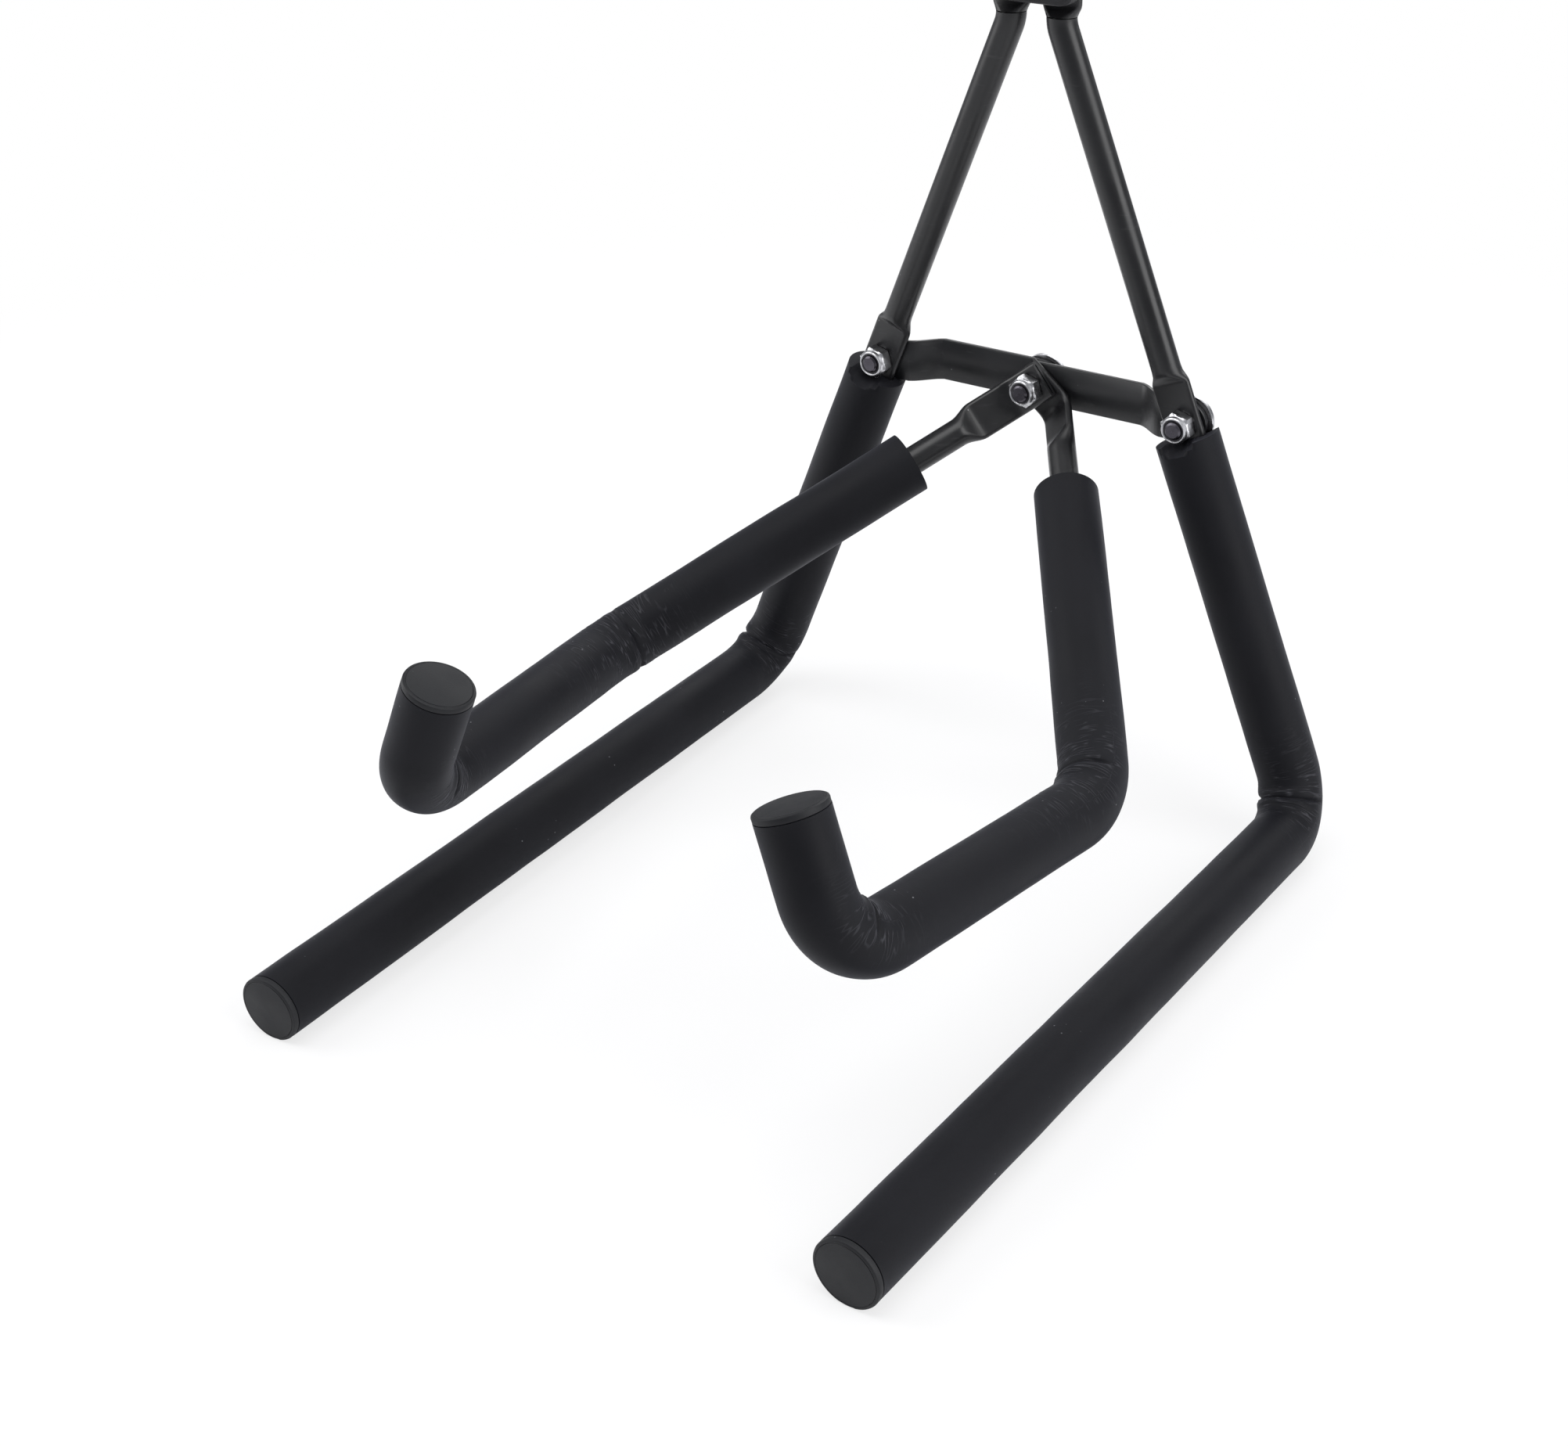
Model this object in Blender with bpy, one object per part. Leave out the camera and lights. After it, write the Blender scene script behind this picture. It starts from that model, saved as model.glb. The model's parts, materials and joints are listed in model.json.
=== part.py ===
"""Folding A-frame instrument stand with two foam-padded cradle arms.

Two bent steel tubes form the sides: each runs from a hinge head down a leaning upright, round
a bend and forward along the floor as a leg. A strap folding at its centre spreads the uprights,
and two bent cradle tubes hang from the centre of that strap. X runs across the stand, the legs
point to -Y and +Z is up. The origin is on the floor, under the middle of the bounding box.
"""
import math

import bmesh
import bpy
from mathutils import Matrix, Vector

MM = 0.001

# Tube and foam
TUBE_DIAMETER = 10.0 * MM
TUBE_WALL = 1.2 * MM
FOAM_DIAMETER = 22.0 * MM
FLOOR_FLAT = 0.5 * MM
BEND_RADIUS = 20.0 * MM

# Flattened stretches of tube, made for the bolts
CRIMP_THICKNESS = 3.0 * MM
CRIMP_RAMP = 4.8 * MM
CRIMP_END_MARGIN = 6.5 * MM

# Uprights and legs, measured on the centre line of the right-hand tube
UPRIGHT_LEAN = math.radians(22.1)
PIVOT_HALF_SPAN = 60.3 * MM
PIVOT_HEIGHT = 146.7 * MM
PIVOT_CRIMP_BELOW = 8.0 * MM
PIVOT_CRIMP_ABOVE = 14.0 * MM
LEG_REACH = 277.4 * MM
LEG_TOE_IN = math.radians(1.65)
SLEEVE_BELOW_PIVOT = 5.0 * MM

# Hinge head
HEAD_HALF_SPAN = 9.3 * MM
HEAD_RISE = 15.5 * MM
HEAD_BEND_RADIUS = 12.0 * MM
HEAD_CRIMP_BELOW = 9.0 * MM
PLATE_THICKNESS = 2.0 * MM
PLATE_SIDE_MARGIN = 8.0 * MM
PLATE_CORNER = 4.0 * MM
PAD_THICKNESS = 7.0 * MM
PAD_OVERHANG = 1.5 * MM
PAD_EDGE = 1.6 * MM
PAD_EDGE_SHOULDER = 0.55 * MM

# Folding strap
STRAP_THICKNESS = 2.0 * MM
STRAP_WIDTH = 15.0 * MM
STRAP_JOGGLE_START = 10.0 * MM
STRAP_JOGGLE_END = 20.0 * MM

# Cradle tubes, right-hand one: bends and arm end on the centre line
CRADLE_REAR_BEND = Vector((94.7, -118.6, 71.2)) * MM
CRADLE_FRONT_BEND = Vector((79.0, -236.8, 75.2)) * MM
CRADLE_TIP = Vector((62.1, -233.0, 118.5)) * MM
CRADLE_REAR_RADIUS = 30.0 * MM
CRADLE_FLAT_END = 24.0 * MM
CRADLE_FLAT_RAMP = 8.0 * MM
CRADLE_SLEEVE_START = 52.0 * MM
CRADLE_HANG_BEND_RADIUS = 8.0 * MM
FRONT_CRADLE_HANG = 9.0 * MM
REAR_CRADLE_HANG = 11.5 * MM

# Fasteners
BOLT_DIAMETER = 6.0 * MM
HEX_ACROSS_FLATS = 10.0 * MM
NUT_DENT_MARGIN = 0.25 * MM
BOLT_HEAD_HEIGHT = 4.0 * MM
FLUSH_HEAD_DIAMETER = 10.0 * MM
FLUSH_HEAD_HEIGHT = 2.2 * MM
NUT_HEX_HEIGHT = 4.6 * MM
NUT_COLLAR_HEIGHT = 1.4 * MM
NUT_COLLAR_DIAMETER = 9.2 * MM
BOLT_END_PROUD = 0.7 * MM
WASHER_DIAMETER = 18.0 * MM
WASHER_THICKNESS = 1.6 * MM
END_CHAMFER = 0.6 * MM

# End caps
CAP_THICKNESS = 2.4 * MM
CAP_DOME = 0.6 * MM
CAP_RIM_CHAMFER = 0.5 * MM
CAP_STEM_LENGTH = 8.0 * MM

# Clearance between neighbouring pieces
GAP = 0.3 * MM

# Facets
TUBE_SIDES = 16
FOAM_SIDES = 20
HARDWARE_SIDES = 18
ARC_STEP = math.radians(19)
SHARP_ANGLE = math.radians(35)
CORNER_STEPS = 4
ROUND_END_STEPS = 5

# Radii that follow from the sizes above
TUBE_RADIUS = TUBE_DIAMETER / 2
FOAM_RADIUS = FOAM_DIAMETER / 2
BOLT_RADIUS = BOLT_DIAMETER / 2
HOLE_RADIUS = BOLT_RADIUS + GAP
NUT_HEIGHT = NUT_HEX_HEIGHT + NUT_COLLAR_HEIGHT
CRIMP_HALF = CRIMP_THICKNESS / 2
HEX_CORNER_RADIUS = HEX_ACROSS_FLATS / 2 / math.cos(math.pi / 6)

# Layers along Y at a strap end, from the middle of the crimped tube backwards
STRAP_FRONT = CRIMP_HALF + GAP
PIVOT_WASHER_FRONT = STRAP_FRONT + STRAP_THICKNESS + GAP
PIVOT_HEAD_FRONT = PIVOT_WASHER_FRONT + WASHER_THICKNESS + GAP
PIVOT_NUT_BACK = -CRIMP_HALF - GAP

# Layers along Y at the strap's centre, from the front cradle backwards
FRONT_CRADLE_Y = 2.9 * MM
REAR_CRADLE_Y = FRONT_CRADLE_Y + CRIMP_THICKNESS + GAP
RIGHT_STRAP_FRONT = REAR_CRADLE_Y + CRIMP_HALF + GAP
LEFT_STRAP_FRONT = RIGHT_STRAP_FRONT + STRAP_THICKNESS + GAP
CENTRE_WASHER_FRONT = LEFT_STRAP_FRONT + STRAP_THICKNESS + GAP
CENTRE_HEAD_FRONT = CENTRE_WASHER_FRONT + WASHER_THICKNESS + GAP
CENTRE_NUT_BACK = FRONT_CRADLE_Y - CRIMP_HALF - GAP

# Layers along Y at the hinge head
PLATE_INNER = CRIMP_HALF + GAP
PLATE_OUTER = PLATE_INNER + PLATE_THICKNESS
HEAD_SEAT = PLATE_OUTER + GAP

# Key points of the right-hand side; the uprights' plane is y = 0 here
AXIS_HEIGHT = FOAM_RADIUS - FLOOR_FLAT
SLOPE = math.tan(UPRIGHT_LEAN)
PIVOT = Vector((PIVOT_HALF_SPAN, 0, PIVOT_HEIGHT))
UPRIGHT_UP = Vector((-math.sin(UPRIGHT_LEAN), 0, math.cos(UPRIGHT_LEAN)))
HEEL = Vector((PIVOT_HALF_SPAN + (PIVOT_HEIGHT - AXIS_HEIGHT) * SLOPE, 0, AXIS_HEIGHT))
LEG_FORWARD = Vector((-math.sin(LEG_TOE_IN), -math.cos(LEG_TOE_IN), 0))
TOE = HEEL + LEG_FORWARD * (LEG_REACH / math.cos(LEG_TOE_IN))
HEAD_BEND = Vector((HEAD_HALF_SPAN, 0, PIVOT_HEIGHT + (PIVOT_HALF_SPAN - HEAD_HALF_SPAN) / SLOPE))
HEAD_PIVOT = HEAD_BEND + Vector((0, 0, HEAD_RISE))
STRAP_CENTRE = Vector((0, 0, PIVOT_HEIGHT))

# The uprights stand this far behind the middle of the stand's depth
UPRIGHT_Y = (LEG_REACH - CENTRE_HEAD_FRONT - BOLT_HEAD_HEIGHT) / 2

RIGHT = 1
LEFT = -1
BACKWARD = Vector((0, 1, 0))


def clear_scene():
    for obj in list(bpy.data.objects):
        bpy.data.objects.remove(obj, do_unlink=True)


def finish(name, color, roughness, metallic):
    material = bpy.data.materials.new(name)
    material.use_nodes = True
    shader = material.node_tree.nodes["Principled BSDF"]
    shader.inputs["Base Color"].default_value = (*color, 1.0)
    shader.inputs["Roughness"].default_value = roughness
    shader.inputs["Metallic"].default_value = metallic
    return material


def add_piece(name, shape, material, origin):
    """Object whose own origin lies on its joint's axis, at a point given in the uprights' plane."""
    bmesh.ops.translate(shape, verts=shape.verts, vec=-origin)
    mesh = bpy.data.meshes.new(name)
    shape.to_mesh(mesh)
    shape.free()
    mesh.shade_smooth()
    mesh.set_sharp_from_angle(angle=SHARP_ANGLE)
    obj = bpy.data.objects.new(name, mesh)
    obj.location = origin + Vector((0, UPRIGHT_Y, 0))
    if material:
        mesh.materials.append(material)
    bpy.context.scene.collection.objects.link(obj)
    return obj


def add_cutter(name, shape):
    cutter = add_piece(name, shape, None, Vector((0, 0, 0)))
    cutter.hide_render = True
    cutter.display_type = "WIRE"
    return cutter


def cut(obj, *cutters):
    for cutter in cutters:
        boolean = obj.modifiers.new(cutter.name, "BOOLEAN")
        boolean.operation = "DIFFERENCE"
        boolean.solver = "EXACT"
        boolean.object = cutter


def loft(rings, closed=False):
    """Skin a row of rings of equal count; closed joins the last ring to the first."""
    shape = bmesh.new()
    loops = [[shape.verts.new(point) for point in ring] for ring in rings]
    pairs = list(zip(loops, loops[1:]))
    if closed:
        pairs.append((loops[-1], loops[0]))
    for near, far in pairs:
        for index in range(len(near)):
            following = (index + 1) % len(near)
            shape.faces.new((near[index], near[following], far[following], far[index]))
    if not closed:
        shape.faces.new(loops[0][::-1])
        shape.faces.new(loops[-1])
    bmesh.ops.recalc_face_normals(shape, faces=shape.faces)
    return shape


def course(corners):
    """Stations (point, direction, flatness) along straight runs and arcs.

    Each corner is (point, bend radius, flatness); a radius of 0 marks a point on a straight run.
    """
    first, second = corners[0], corners[1]
    stations = [(first[0], (second[0] - first[0]).normalized(), first[2])]
    for before, here, after in zip(corners, corners[1:], corners[2:]):
        corner, radius, flatness = here
        into = (corner - before[0]).normalized()
        out = (after[0] - corner).normalized()
        turn = into.angle(out)
        if radius == 0:
            stations.append((corner, into, flatness))
            continue
        axis = into.cross(out).normalized()
        start = corner - into * (radius * math.tan(turn / 2))
        centre = start + axis.cross(into) * radius
        steps = max(2, math.ceil(turn / ARC_STEP))
        for step in range(steps + 1):
            rotation = Matrix.Rotation(turn * step / steps, 3, axis)
            stations.append((centre + rotation @ (start - centre), rotation @ into, flatness))
    last, previous = corners[-1], corners[-2]
    stations.append((last[0], (last[0] - previous[0]).normalized(), last[2]))
    return stations


def round_section(radius, sides):
    step = 2 * math.pi / sides
    return [(radius * math.cos(step * (i + 0.5)), radius * math.sin(step * (i + 0.5)))
            for i in range(sides)]


def tube_section(flatness, growth, sides=TUBE_SIDES):
    """Slot-shaped outline of the pressed tube, whose perimeter stays that of the round tube."""
    half = TUBE_RADIUS + (CRIMP_HALF - TUBE_RADIUS) * flatness
    straight = math.pi * (TUBE_RADIUS - half) / 2
    reach = (half + growth) / math.cos(math.pi / TUBE_SIDES)
    return [(u + math.copysign(straight, u), v) for u, v in round_section(reach, sides)]


def sweep_rings(stations, section):
    """Place section(flatness) square to the course, without twist, thickness first along Y."""
    rings = []
    previous = stations[0][1]
    thickness = (BACKWARD - previous * previous.dot(BACKWARD)).normalized()
    for point, direction, flatness in stations:
        thickness = previous.rotation_difference(direction) @ thickness
        width = direction.cross(thickness).normalized()
        rings.append([point + width * u + thickness * v for u, v in section(flatness)])
        previous = direction
    return rings


def hollow_sweep(stations, outer, inner):
    return loft(sweep_rings(stations, outer) + sweep_rings(stations, inner)[::-1], closed=True)


def tube_along(stations):
    return hollow_sweep(stations,
                        lambda flatness: tube_section(flatness, 0.0),
                        lambda flatness: tube_section(flatness, -TUBE_WALL))


def sleeve_along(stations):
    """Round foam whose bore follows the tube, pressed or round, at a small clearance."""
    return hollow_sweep(stations,
                        lambda flatness: round_section(FOAM_RADIUS, FOAM_SIDES),
                        lambda flatness: tube_section(flatness, GAP, FOAM_SIDES))


def turned(base, direction, profile, sides=HARDWARE_SIDES, closed=False):
    """Loft of (distance along direction, radius or hexagon) steps about an axis."""
    across = direction.orthogonal().normalized()
    up = direction.cross(across)
    rings = []
    for distance, radius in profile:
        ring = []
        for index in range(sides):
            angle = 2 * math.pi * index / sides
            reach = radius(angle) if callable(radius) else radius
            spoke = across * math.cos(angle) + up * math.sin(angle)
            ring.append(base + direction * distance + spoke * reach)
        rings.append(ring)
    return loft(rings, closed)


def hexagon(angle):
    """Distance from the axis to a hexagon's side, with a corner at every 60 degrees."""
    sixth = math.pi / 3
    return HEX_ACROSS_FLATS / 2 / math.cos(angle % sixth - sixth / 2)


def mirrored(point, side):
    return Vector((point.x * side, point.y, point.z))


def side_course(side):
    """Centre line of one side tube from its head end to the toe, with the crimp at the pivot."""
    def on_upright(distance, flatness):
        return (PIVOT + UPRIGHT_UP * distance, 0, flatness)

    def under_head(distance, flatness):
        return (HEAD_PIVOT - Vector((0, 0, distance)), 0, flatness)

    corners = [under_head(-CRIMP_END_MARGIN, 1.0),
               under_head(HEAD_CRIMP_BELOW, 1.0),
               under_head(HEAD_CRIMP_BELOW + CRIMP_RAMP / 2, 0.5),
               (HEAD_BEND, HEAD_BEND_RADIUS, 0.0),
               on_upright(PIVOT_CRIMP_ABOVE + CRIMP_RAMP, 0.0),
               on_upright(PIVOT_CRIMP_ABOVE + CRIMP_RAMP / 2, 0.5),
               on_upright(PIVOT_CRIMP_ABOVE, 1.0),
               on_upright(-PIVOT_CRIMP_BELOW, 1.0),
               on_upright(-PIVOT_CRIMP_BELOW - CRIMP_RAMP / 2, 0.5),
               on_upright(-PIVOT_CRIMP_BELOW - CRIMP_RAMP, 0.0),
               (HEEL, BEND_RADIUS, 0.0),
               (TOE - LEG_FORWARD * (CAP_THICKNESS + GAP), 0, 0.0)]
    return course([(mirrored(point, side), radius, flatness) for point, radius, flatness in corners])


def sleeve_course(side):
    """The part of the side's centre line that the foam covers."""
    top = (PIVOT - UPRIGHT_UP * SLEEVE_BELOW_PIVOT, 0, 1.0)
    corners = [top,
               (PIVOT - UPRIGHT_UP * PIVOT_CRIMP_BELOW, 0, 1.0),
               (PIVOT - UPRIGHT_UP * (PIVOT_CRIMP_BELOW + CRIMP_RAMP / 2), 0, 0.5),
               (PIVOT - UPRIGHT_UP * (PIVOT_CRIMP_BELOW + CRIMP_RAMP), 0, 0.0),
               (HEEL, BEND_RADIUS, 0.0),
               (TOE - LEG_FORWARD * (CAP_THICKNESS + GAP), 0, 0.0)]
    return course([(mirrored(point, side), radius, flatness) for point, radius, flatness in corners])


def cradle_post(side, layer, hang):
    """Bolt centre, direction of the hanging flat, and a function giving points further down the post."""
    centre = STRAP_CENTRE + Vector((0, layer, 0))
    rear = mirrored(CRADLE_REAR_BEND, side)
    down = Vector((rear.x - centre.x, 0, rear.z - centre.z)).normalized()
    bend = centre + down * hang
    along = (rear - bend).normalized()

    def on_post(distance, flatness):
        return (bend + along * (distance - hang), 0, flatness)

    return centre, down, on_post


def cradle_arm(side):
    """The rear bend, the front bend and the arm up to its cap."""
    front = mirrored(CRADLE_FRONT_BEND, side)
    tip = mirrored(CRADLE_TIP, side)
    arm = (tip - front).normalized()
    return [(mirrored(CRADLE_REAR_BEND, side), CRADLE_REAR_RADIUS, 0.0),
            (front, BEND_RADIUS, 0.0),
            (tip - arm * (CAP_THICKNESS + GAP), 0, 0.0)]


def cradle_course(side, layer, hang):
    centre, down, on_post = cradle_post(side, layer, hang)
    return course([(centre - down * CRIMP_END_MARGIN, 0, 1.0),
                   (centre + down * hang, CRADLE_HANG_BEND_RADIUS, 1.0),
                   on_post(CRADLE_FLAT_END, 1.0),
                   on_post(CRADLE_FLAT_END + CRADLE_FLAT_RAMP / 2, 0.5),
                   on_post(CRADLE_FLAT_END + CRADLE_FLAT_RAMP, 0.0)] + cradle_arm(side))


def cradle_sleeve_course(side, layer, hang):
    on_post = cradle_post(side, layer, hang)[2]
    return course([on_post(CRADLE_SLEEVE_START, 0.0)] + cradle_arm(side))


def cap(tip, outward):
    """Flat end cap with a low dome and a stem in the tube's bore, seen from its outer face."""
    stem_radius = TUBE_RADIUS - TUBE_WALL - GAP
    back = -CAP_THICKNESS
    return turned(tip, outward, [(back - CAP_STEM_LENGTH, stem_radius - END_CHAMFER),
                                 (back - CAP_STEM_LENGTH + END_CHAMFER, stem_radius),
                                 (back, stem_radius),
                                 (back, FOAM_RADIUS),
                                 (-CAP_DOME - CAP_RIM_CHAMFER, FOAM_RADIUS),
                                 (-CAP_DOME, FOAM_RADIUS - CAP_RIM_CHAMFER),
                                 (0, FOAM_RADIUS / 2)], sides=FOAM_SIDES)


def bolt(centre, end, seat, head_height, head):
    """Bolt along Y from its plain end at y = end to a head that starts at y = seat."""
    profile = [(end, BOLT_RADIUS - END_CHAMFER),
               (end + END_CHAMFER, BOLT_RADIUS),
               (seat, BOLT_RADIUS),
               (seat, head),
               (seat + head_height - END_CHAMFER, head),
               (seat + head_height, HEX_ACROSS_FLATS / 2 - END_CHAMFER)]
    return turned(centre, BACKWARD, profile)


def lock_nut(centre, start, outward):
    """Hexagon nut with a round collar at its outer end; outward is +1 or -1 along Y."""
    direction = BACKWARD * outward
    collar = NUT_COLLAR_DIAMETER / 2
    profile = [(0, hexagon),
               (NUT_HEX_HEIGHT, hexagon),
               (NUT_HEX_HEIGHT, collar),
               (NUT_HEIGHT, collar),
               (NUT_HEIGHT, HOLE_RADIUS),
               (0, HOLE_RADIUS)]
    return turned(centre + BACKWARD * start, direction, profile, closed=True)


def washer(centre, start):
    outer = WASHER_DIAMETER / 2
    profile = [(0, outer),
               (WASHER_THICKNESS, outer),
               (WASHER_THICKNESS, HOLE_RADIUS),
               (0, HOLE_RADIUS)]
    return turned(centre + BACKWARD * start, BACKWARD, profile, closed=True)


def strap(side, far_layer):
    """Flat bar from a pivot to the strap's centre, set back by a joggle between the two."""
    half_width = STRAP_WIDTH / 2
    length = PIVOT_HALF_SPAN
    columns = []
    for step in range(1, ROUND_END_STEPS + 1):
        angle = math.pi / 2 * step / ROUND_END_STEPS
        columns.append((-half_width * math.cos(angle), half_width * math.sin(angle), STRAP_FRONT))
    columns.append((STRAP_JOGGLE_START, half_width, STRAP_FRONT))
    columns.append((STRAP_JOGGLE_END, half_width, far_layer))
    for step in range(ROUND_END_STEPS, 0, -1):
        angle = math.pi / 2 * step / ROUND_END_STEPS
        columns.append((length + half_width * math.cos(angle), half_width * math.sin(angle), far_layer))
    rings = []
    for distance, half, front in columns:
        x = side * (PIVOT_HALF_SPAN - distance)
        back = front + STRAP_THICKNESS
        rings.append([Vector((x, front, PIVOT_HEIGHT - half)),
                      Vector((x, back, PIVOT_HEIGHT - half)),
                      Vector((x, back, PIVOT_HEIGHT + half)),
                      Vector((x, front, PIVOT_HEIGHT + half))])
    return loft(rings)


def rounded_outline(half_width, half_height, corner, y):
    """Rounded rectangle about the hinge head's middle, in the plane at this y."""
    outline = []
    for quarter, (sx, sz) in enumerate(((1, 1), (-1, 1), (-1, -1), (1, -1))):
        for step in range(CORNER_STEPS + 1):
            angle = math.pi / 2 * (quarter + step / CORNER_STEPS)
            outline.append(Vector((sx * (half_width - corner) + corner * math.cos(angle),
                                   y,
                                   HEAD_PIVOT.z + sz * (half_height - corner) + corner * math.sin(angle))))
    return outline


def head_plate(near, far):
    half_width = HEAD_HALF_SPAN + PLATE_SIDE_MARGIN
    return loft([rounded_outline(half_width, CRIMP_END_MARGIN, PLATE_CORNER, y) for y in (near, far)])


def head_pad():
    """Soft pad over the front plate, with its front edge rounded."""
    half_width = HEAD_HALF_SPAN + PLATE_SIDE_MARGIN + PAD_OVERHANG
    half_height = CRIMP_END_MARGIN + PAD_OVERHANG
    corner = PLATE_CORNER + PAD_OVERHANG
    back = -HEAD_SEAT
    front = back - PAD_THICKNESS
    shoulder = PAD_EDGE_SHOULDER
    return loft([rounded_outline(half_width, half_height, corner, back),
                 rounded_outline(half_width, half_height, corner, front + PAD_EDGE),
                 rounded_outline(half_width - shoulder, half_height - shoulder, corner, front + shoulder),
                 rounded_outline(half_width - PAD_EDGE, half_height - PAD_EDGE, corner - shoulder, front)])


def cylinder_cutter(name, centre, radius, near, far):
    return add_cutter(name, turned(centre, BACKWARD, [(near, radius), (far, radius)]))


def floor_cutter():
    """Everything below the floor, under both legs."""
    half = PIVOT_HALF_SPAN + HEEL.x
    depth = FOAM_DIAMETER
    corners = [(-half, -LEG_REACH - depth), (half, -LEG_REACH - depth), (half, depth), (-half, depth)]
    return add_cutter("below_floor", loft([[Vector((x, y, z)) for x, y in corners] for z in (-depth, 0)]))


def build_side(side, word, finishes, floor):
    """Side tube with its foam and cap, and the bolt, nut and washer that carry the strap."""
    steel, foam, plastic, zinc = finishes
    pivot = mirrored(PIVOT, side)
    head = mirrored(HEAD_PIVOT, side)
    toe = mirrored(TOE, side)
    forward = mirrored(LEG_FORWARD, side)
    reach = FOAM_DIAMETER
    bolt_hole = cylinder_cutter(word + "_pivot_hole", pivot, HOLE_RADIUS, -reach, reach)
    head_hole = cylinder_cutter(word + "_head_hole", head, HOLE_RADIUS, -reach, reach)
    nut_room = HEX_CORNER_RADIUS + NUT_DENT_MARGIN + GAP
    washer_room = WASHER_DIAMETER / 2 + GAP
    nut_dent = cylinder_cutter(word + "_nut_dent", pivot, nut_room, -reach, -CRIMP_HALF)
    washer_dent = cylinder_cutter(word + "_washer_dent", pivot, washer_room, CRIMP_HALF, reach)
    tube = add_piece(word + "_side_tube", tube_along(side_course(side)), steel, head)
    cut(tube, bolt_hole, head_hole)
    sleeve = add_piece(word + "_side_sleeve", sleeve_along(sleeve_course(side)), foam, head)
    cut(sleeve, nut_dent, washer_dent, floor)
    foot = add_piece(word + "_foot_cap", cap(toe, forward), plastic, head)
    cut(foot, floor)
    end = PIVOT_NUT_BACK - NUT_HEIGHT - BOLT_END_PROUD
    pivot_bolt = bolt(pivot, end, PIVOT_HEAD_FRONT, BOLT_HEAD_HEIGHT, hexagon)
    add_piece(word + "_pivot_bolt", pivot_bolt, zinc, head)
    add_piece(word + "_pivot_nut", lock_nut(pivot, PIVOT_NUT_BACK, -1), zinc, head)
    add_piece(word + "_pivot_washer", washer(pivot, PIVOT_WASHER_FRONT), zinc, head)
    return bolt_hole, head_hole


def build_strap(side, word, far_layer, material, holes):
    """Half of the folding strap; it turns on its own side's pivot bolt."""
    bar = add_piece(word + "_strap", strap(side, far_layer), material, mirrored(PIVOT, side))
    cut(bar, *holes)


def build_cradle(side, word, layer, hang, finishes, centre_hole):
    """Bent cradle tube with its foam and cap; it turns on the stud at the strap's centre."""
    steel, foam, plastic, zinc = finishes
    bare = tube_along(cradle_course(side, layer, hang))
    padding = sleeve_along(cradle_sleeve_course(side, layer, hang))
    tube = add_piece(word + "_cradle_tube", bare, steel, STRAP_CENTRE)
    cut(tube, centre_hole)
    add_piece(word + "_cradle_sleeve", padding, foam, STRAP_CENTRE)
    tip = mirrored(CRADLE_TIP, side)
    arm = (tip - mirrored(CRADLE_FRONT_BEND, side)).normalized()
    add_piece(word + "_cradle_cap", cap(tip, arm), plastic, STRAP_CENTRE)


def build_centre(zinc):
    """Stud of the right strap, which carries both cradles, and the left strap's own bolt."""
    stud_end = CENTRE_NUT_BACK - NUT_HEIGHT - BOLT_END_PROUD
    strap_back = RIGHT_STRAP_FRONT + STRAP_THICKNESS
    stud = turned(STRAP_CENTRE, BACKWARD, [(stud_end, BOLT_RADIUS - END_CHAMFER),
                                           (stud_end + END_CHAMFER, BOLT_RADIUS),
                                           (strap_back, BOLT_RADIUS)])
    add_piece("centre_stud", stud, zinc, STRAP_CENTRE)
    add_piece("centre_nut", lock_nut(STRAP_CENTRE, CENTRE_NUT_BACK, -1), zinc, STRAP_CENTRE)
    head_back = CENTRE_HEAD_FRONT + BOLT_HEAD_HEIGHT
    centre_bolt = turned(STRAP_CENTRE, BACKWARD, [(LEFT_STRAP_FRONT, BOLT_RADIUS),
                                                  (CENTRE_HEAD_FRONT, BOLT_RADIUS),
                                                  (CENTRE_HEAD_FRONT, hexagon),
                                                  (head_back - END_CHAMFER, hexagon),
                                                  (head_back, HEX_ACROSS_FLATS / 2 - END_CHAMFER)])
    add_piece("centre_bolt", centre_bolt, zinc, STRAP_CENTRE)
    add_piece("centre_washer", washer(STRAP_CENTRE, CENTRE_WASHER_FRONT), zinc, STRAP_CENTRE)


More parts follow.
